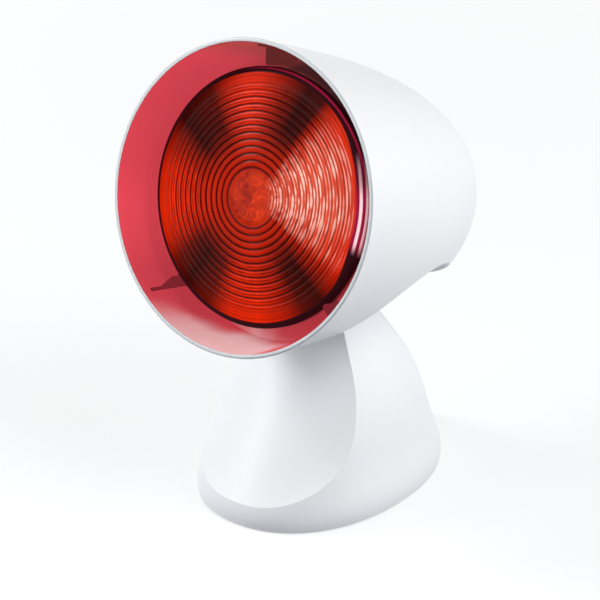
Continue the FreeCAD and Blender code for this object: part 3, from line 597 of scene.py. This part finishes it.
def addBorder(tree, look, colour, radius, angle):
    # the dark border, painted in the glint colour on the lamp's own left with painted highlight rings there,
    # and a painted red glint line above them
    side = rampNode(tree, angle, look["borderSide"])
    bulge = mathNode(tree, "MULTIPLY", rampNode(tree, angle, look["bulgeSide"]), look["bulge"])
    moved = mathNode(tree, "SUBTRACT", mathNode(tree, "ADD", radius, bulge), look["edge"])
    outwards = mathNode(tree, "DIVIDE", moved, look["edgeWidth"])
    rings = mathNode(tree, "MULTIPLY", side, rampNode(tree, outwards, look["borderRings"]))
    fromGlintLine = mathNode(tree, "ABSOLUTE", mathNode(tree, "SUBTRACT", radius, look["glintLineRadius"]))
    glintLine = mathNode(tree, "MULTIPLY", rampNode(tree, fromGlintLine, look["glintLineShape"]),
                    rampNode(tree, angle, look["glintLineSide"]))
    border = mixColour(tree, side, look["border"], look["glintLine"])
    border = mixColour(tree, rings, border, look["borderFlare"])
    border = mixColour(tree, glintLine, border, look["glintLine"])
    return mixColour(tree, rampNode(tree, outwards, look["borderStart"]), colour, border)


def makeRedGlass(look, spec):
    mat, tree, shader = newMaterial("redGlass")
    place, across, down = headCoords(tree)[:3]
    radius = lengthOf(tree, across, down)
    angle = headAngle(tree, across, down)
    share = mathNode(tree, "DIVIDE", radius, look["edge"])
    phase = mathNode(tree, "DIVIDE", mathNode(tree, "SUBTRACT", radius, spec["firstRing"]), spec["pitch"])
    # fine uneven streaks along the rings
    along = addNode(tree, "ShaderNodeCombineXYZ", mathNode(tree, "MULTIPLY", angle, look["streakTurns"]),
                    mathNode(tree, "MULTIPLY", radius, look["streakRise"]))
    streaks = noiseNode(tree, along.outputs[0], Scale=1.0, Detail=5.0, Roughness=0.65)
    colour = litGlass(tree, look, place, share, angle)
    colour = mixColour(tree, ringLines(tree, look, phase, share, streaks), colour, look["dark"])
    colour = addFlares(tree, look, colour, phase, share, angle)
    colour = addBorder(tree, look, colour, radius, angle)
    # the painted colour, with its painted highlights and reflections, glows as well
    feedShader(tree, shader, {"Base Color": colour, "Emission Color": colour,
                              "Emission Strength": look["glow"], "Specular IOR Level": look["specular"]})
    addGloss(tree, shader, streaks, look["roughness"])
    addBump(tree, shader, streaks, look["bump"])
    return mat


def faceDepth(spec, r):
    return spec["front"] - spec["crown"] * (1 - (r / spec["radius"]) ** spec["shape"])


def faceProfile(spec):
    # plain middle, raised rings, plain border, rounded edge and a flat back
    raised = [(spec["firstRing"] * k / spec["middleSteps"], 0.0) for k in range(spec["middleSteps"])]
    steps = spec["ringSteps"]
    for k in range(spec["rings"] * steps):
        lift = spec["ridge"] * (1 - math.sin(math.pi * (k % steps) / steps))
        raised.append((spec["firstRing"] + spec["pitch"] * k / steps, lift))
    ringsEnd = spec["firstRing"] + spec["pitch"] * spec["rings"]
    border = spec["radius"] - spec["round"] - ringsEnd
    for k in range(spec["borderSteps"] + 1):
        raised.append((ringsEnd + border * k / spec["borderSteps"], 0.0))
    profile = [(r, faceDepth(spec, r) + lift) for r, lift in raised]
    profile += roundedCorner(spec["radius"], spec["front"], spec["round"], spec["roundSteps"])
    back = spec["front"] + spec["thickness"]
    return profile + [(spec["radius"], back), (0.0, back - spec["crown"])]


finish["redGlass"] = makeRedGlass(glassLook, bulbSpec)
lens = lathe("bulbFace", faceProfile(bulbSpec), bulbSpec["segments"], closed=False)
smoothByAngle(lens, 40)
setMaterial(lens, finish["redGlass"])
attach(lens, "bulb")
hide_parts("bulb_lens")
print("bulb face done")

# the base: an oval form lofted through stations of height, half width, half depth and shift,
# cut by a leaning, bowed front facet and by the shoulders that run up into the neck
baseSpec = {
    "centreY": -6.32, "exponent": 2.16, "rows": 70, "around": 200,
    "stations": [(0.8, 51.4, 68.4, 0.0), (4.0, 52.0, 68.6, -0.2), (20.0, 49.2, 64.4, -0.9),
                 (40.0, 44.4, 58.1, -0.9), (60.0, 38.1, 49.8, -2.1), (80.0, 30.0, 38.5, -5.6),
                 (98.0, 23.0, 28.5, -9.0), (112.0, 19.0, 23.0, -11.0)],
    "facetLean": 32.0, "noseY": -68.0, "noseZ": 12.0, "bow": 0.0140, "bowMiddle": 48.6, "bowSpan": 49.6,
    "facetHalf": 60.0, "facetLow": -10.0, "facetHigh": 125.0, "facetColumns": 72, "facetRows": 110,
    "footZ": 80.0, "footFront": -38.0, "footBack": 34.0, "neckRadius": 11.0, "neckSteps": 32, "pivotZ": 97.5,
    "slotHalf": 8.2, "slotFloor": 87.6, "edge": 0.12, "panelEdge": 0.04, "border": 1.3, "gap": 0.02,
    "recessFront": 0.2, "panelThickness": 2.4, "panelTop": 84.0,
    "outside": 150.0,  # the cutting tools reach this far, well past the base
}


def spline(xs, ys, x):
    # natural cubic through the stations
    last = len(xs) - 1
    steps = [xs[i + 1] - xs[i] for i in range(last)]
    slopes = [(ys[i + 1] - ys[i]) / steps[i] for i in range(last)]
    share, bend = [0.0] * (last + 1), [0.0] * (last + 1)
    for i in range(1, last):
        pivot = 2 * (steps[i - 1] + steps[i]) - steps[i - 1] * share[i - 1]
        share[i] = steps[i] / pivot
        bend[i] = (6 * (slopes[i] - slopes[i - 1]) - steps[i - 1] * bend[i - 1]) / pivot
    for i in range(last - 1, 0, -1):
        bend[i] -= share[i] * bend[i + 1]
    i = max(k for k in range(last) if xs[k] <= x + 1e-9 or k == 0)
    step, after, before = steps[i], xs[i + 1] - x, x - xs[i]
    curved = (bend[i] * after ** 3 + bend[i + 1] * before ** 3) / (6 * step)
    low, high = ys[i] / step - bend[i] * step / 6, ys[i + 1] / step - bend[i + 1] * step / 6
    return curved + low * after + high * before


def baseForm(name, spec, inset):
    rows, around = spec["rows"], spec["around"]
    heights, widths, depths, shifts = zip(*spec["stations"])
    verts, faces = [], []
    for row in range(rows + 1):
        z = heights[0] + (heights[-1] - heights[0]) * row / rows
        width, depth, shift = (spline(heights, sizes, z) for sizes in (widths, depths, shifts))
        for k in range(around):
            t = 2 * math.pi * k / around
            x = math.copysign(abs(math.cos(t)) ** (2 / spec["exponent"]), math.cos(t))
            y = math.copysign(abs(math.sin(t)) ** (2 / spec["exponent"]), math.sin(t))
            verts.append(((width - inset) * x, spec["centreY"] + shift + (depth - inset) * y, z))
    for row in range(rows):
        low, high = row * around, (row + 1) * around
        for k in range(around):
            n = (k + 1) % around
            faces.append((low + k, low + n, high + n, high + k))
    faces.append(tuple(reversed(range(around))))
    faces.append(tuple(range(rows * around, (rows + 1) * around)))
    return meshObject(name, verts, faces)


def facetBlock(name, spec, inward):
    # everything behind the front facet, when that is moved inwards by this much
    columns, rows = spec["facetColumns"], spec["facetRows"]
    slope = math.tan(math.radians(spec["facetLean"]))
    verts, faces = [], []
    for row in range(rows + 1):
        z = spec["facetLow"] + (spec["facetHigh"] - spec["facetLow"]) * row / rows
        bow = spec["bow"] * max(1 - abs((z - spec["bowMiddle"]) / spec["bowSpan"]) ** 3, 0)
        for k in range(columns + 1):
            x = spec["facetHalf"] * (2 * k / columns - 1)
            y = spec["centreY"] + spec["noseY"] + slope * (z - spec["noseZ"]) + bow * x * x + inward
            verts.append((x, y, z))
    wide = columns + 1
    count = wide * (rows + 1)
    verts += [(x, spec["outside"], z) for x, y, z in verts]
    for row in range(rows):  # the facet and the flat back
        for k in range(columns):
            a = row * wide + k
            faces.append((a, a + 1, a + wide + 1, a + wide))
            faces.append((count + a, count + a + wide, count + a + wide + 1, count + a + 1))
    for k in range(columns):  # bottom and top
        top = rows * wide + k
        faces.append((k, count + k, count + k + 1, k + 1))
        faces.append((top, top + 1, count + top + 1, count + top))
    for row in range(rows):  # both sides
        left, right = row * wide, row * wide + columns
        faces.append((left, left + wide, count + left + wide, count + left))
        faces.append((right, count + right, count + right + wide, right + wide))
    obj = meshObject(name, verts, faces)
    fixNormals(obj)
    return obj


def boxAbove(name, half, floor, outside):
    # an upright box from this height up, of this half width
    verts = [(x, y, z) for x in (-half, half) for y in (-outside, outside) for z in (floor, outside)]
    faces = [(0, 1, 3, 2), (4, 6, 7, 5), (0, 4, 5, 1), (2, 3, 7, 6), (0, 2, 6, 4), (1, 5, 7, 3)]
    return meshObject(name, verts, faces, smooth=False)


def neckTool(spec):
    # everything below the shoulders, and the neck with its two slopes and its round top
    foot, far, radius = spec["footZ"], spec["outside"], spec["neckRadius"]
    drop = foot - spec["pivotZ"]
    touch = []
    for y, side in ((spec["footFront"], -1), (spec["footBack"], 1)):
        touch.append(math.atan2(drop, y) + side * math.acos(radius / math.hypot(y, drop)))
    start, end = touch[0] % (2 * math.pi), touch[1]
    outline = [(-far, -far), (-far, foot), (spec["footFront"], foot)]
    for k in range(spec["neckSteps"] + 1):
        a = start + (end - start) * k / spec["neckSteps"]
        outline.append((radius * math.cos(a), spec["pivotZ"] + radius * math.sin(a)))
    outline += [(spec["footBack"], foot), (far, foot), (far, -far)]
    n = len(outline)
    verts = [(x, spec["centreY"] + y, z) for x in (-far, far) for y, z in outline]
    faces = [tuple(range(n)), tuple(reversed(range(n, 2 * n)))]
    faces += [(k, (k + 1) % n, n + (k + 1) % n, n + k) for k in range(n)]
    obj = meshObject("neckTool", verts, faces, smooth=False)
    fixNormals(obj)
    return obj


def panelBlock(name, spec, gap):
    # the front panel; with a gap it is the recess that the panel sits in, open to the front
    block = baseForm(name, spec, spec["border"] - gap)
    cutWith(block, facetBlock("facetTool", spec, -spec["recessFront"] if gap else 0.0), "INTERSECT")
    thickness = (spec["panelThickness"] + gap) / math.cos(math.radians(spec["facetLean"]))
    cutWith(block, facetBlock("depthTool", spec, thickness))
    cutWith(block, boxAbove("topTool", spec["outside"], spec["panelTop"] + gap, spec["outside"]))
    return block


base = baseForm("baseBody", baseSpec, 0)
cutWith(base, facetBlock("facetTool", baseSpec, 0), "INTERSECT")
cutWith(base, neckTool(baseSpec), "INTERSECT")
cutWith(base, boxAbove("slotTool", baseSpec["slotHalf"], baseSpec["slotFloor"], baseSpec["outside"]))
bevelEdges(base, baseSpec["edge"], segments=2, degrees=12)
cutWith(base, panelBlock("recessTool", baseSpec, baseSpec["gap"]))  # cut last, so that its edges stay sharp
smoothByAngle(base, 30)
weighNormals(base)
setMaterial(base, finish["whiteSatin"])
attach(base, "base")
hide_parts("base_shell")

panel = panelBlock("frontPanel", baseSpec, 0)
bevelEdges(panel, baseSpec["panelEdge"], segments=1, degrees=35)
smoothByAngle(panel, 10)
weighNormals(panel)
setMaterial(panel, finish["whiteSatin"])
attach(panel, "base")
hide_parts("front_panel")
print("base done")

# the other pieces of the lamp only take a finish
plainPieces = {
    "whiteGloss": ["rear_vent_cap"],
    "whiteSatin": ["axle_caps"],
    "plateGrey": ["base_plate"],
    "rubberDark": ["rubber_feet"],
    "rubberPale": ["cable_bush"],
    "castIron": ["ballast_weight"],
    "blackGlass": ["bulb_insulator"],
    "brass": ["holder_sleeve", "holder_contact", "bulb_contact"],
    "porcelain": ["terminal_block", "lampholder", "filament_mount"],
    "ribWall": ["centring_ribs"],
    "saddleSkin": ["underside_saddle"],
    "steel": ["base_screws", "pivot_axle", "detent_plates", "detent_balls", "detent_spring", "heat_shield",
              "holder_bracket", "bracket_screws", "bulb_cap", "bulb_filament", "bulb_reflector"],
}
for name, nodes in plainPieces.items():
    for node in nodes:
        setMaterial(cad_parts[node], finish[name])
print("materials done")

# the paper takes the soft shadow; a glow that the eye and reflections see keeps it near white
paperSpec = {"size": 4.0, "colour": (0.258, 0.279, 0.312), "tint": (1.0, 0.985, 0.96), "glow": 0.73,
             "farGlow": 0.985, "nearEnd": 0.08, "farStart": 0.45, "roughness": 0.9, "grain": 900.0,
             "bump": 0.02, "bumpDepth": 0.0001}


def seenRays(tree):
    # 1 for the eye and for what reflections and clear pieces show, 0 for the light on the lamp
    path = addNode(tree, "ShaderNodeLightPath").outputs
    rays = [path[kind] for kind in ("Is Camera Ray", "Is Glossy Ray", "Is Transmission Ray")]
    return mathNode(tree, "MAXIMUM", *rays)


def makePaper(spec):
    mat, tree, shader = newMaterial("paper")
    place = addNode(tree, "ShaderNodeTexCoord").outputs["Object"]
    grain = noiseNode(tree, place, Scale=spec["grain"], Detail=3.0)
    addBump(tree, shader, grain, spec["bump"], spec["bumpDepth"])
    # far from the lamps the glow alone makes the paper white
    away = addNode(tree, "ShaderNodeVectorMath", place, operation="LENGTH").outputs["Value"]
    glow = rampNode(tree, mathNode(tree, "DIVIDE", away, spec["size"]),
                    [(spec["nearEnd"], spec["glow"]), (spec["farStart"], spec["farGlow"])])
    glow = mathNode(tree, "MULTIPLY", seenRays(tree), glow)
    feedShader(tree, shader, {
        "Base Color": spec["colour"], "Roughness": spec["roughness"], "Specular IOR Level": 0.0,
        "Emission Color": spec["tint"], "Emission Strength": glow})
    return mat


half = paperSpec["size"] / mm
corners = [(-half, -half, 0), (half, -half, 0), (half, half, 0), (-half, half, 0)]
floor = meshObject("floor", corners, [(0, 1, 2, 3)], smooth=False)
setMaterial(floor, makePaper(paperSpec))

# softboxes stand on a sphere round the lamp: name, azimuth, elevation, width, power
lightSpec = {"distance": 1.8, "aim": (0, 0, 0.12), "boxes": [
    ("leftKey", -60, 35, 0.5, 20.5), ("leftFront", -30, 15, 0.9, 12.4), ("frontHigh", -15, 45, 0.9, 1.2),
    ("rightHigh", 90, 45, 0.9, 16.4), ("rightTop", 75, 65, 0.5, 2.0), ("rightSide", 105, 15, 0.9, 12.1),
    ("rightBack", 135, 15, 0.9, 5.7), ("leftBack", -120, 15, 0.9, 1.2), ("backLow", 150, 20, 0.5, 0.6)]}


def addSoftbox(spec, name, azimuth, elevation, width, power):
    a, e = math.radians(azimuth), math.radians(elevation)
    outward = Vector((math.sin(a) * math.cos(e), -math.cos(a) * math.cos(e), math.sin(e)))
    data = bpy.data.lights.new(name, "AREA")
    data.size = width
    data.energy = power
    obj = addObject(name, data)
    obj.location = Vector(spec["aim"]) + outward * spec["distance"]
    obj.rotation_euler = outward.to_track_quat("Z", "Y").to_euler()


for box in lightSpec["boxes"]:
    addSoftbox(lightSpec, *box)

# the sky is white to look at, and lights the lamp hardly at all
skySpec = {"colour": (1, 1, 1), "seen": 0.96, "light": 0.01}
world = bpy.data.worlds.new("studio")
bpy.context.scene.world = world
world.use_nodes = True
tree = world.node_tree
level = mathNode(tree, "MULTIPLY", seenRays(tree), skySpec["seen"])
feedShader(tree, tree.nodes["Background"], {
    "Color": skySpec["colour"], "Strength": mathNode(tree, "ADD", level, skySpec["light"])})
print("stage done")

cameraSpec = {"place": (0.7575, -1.0057, 0.7100), "target": (-0.00957, -0.0107, 0.09216), "lens": 173.9,
              "sensor": 36}
cameraData = bpy.data.cameras.new("camera")
cameraData.lens = cameraSpec["lens"]
cameraData.sensor_width = cameraSpec["sensor"]
camera = addObject("camera", cameraData)
camera.location = cameraSpec["place"]
camera.rotation_euler = (Vector(cameraSpec["target"]) - camera.location).to_track_quat("-Z", "Y").to_euler()
bpy.context.scene.camera = camera
bpy.context.scene.view_settings.view_transform = "Standard"
print("camera done")
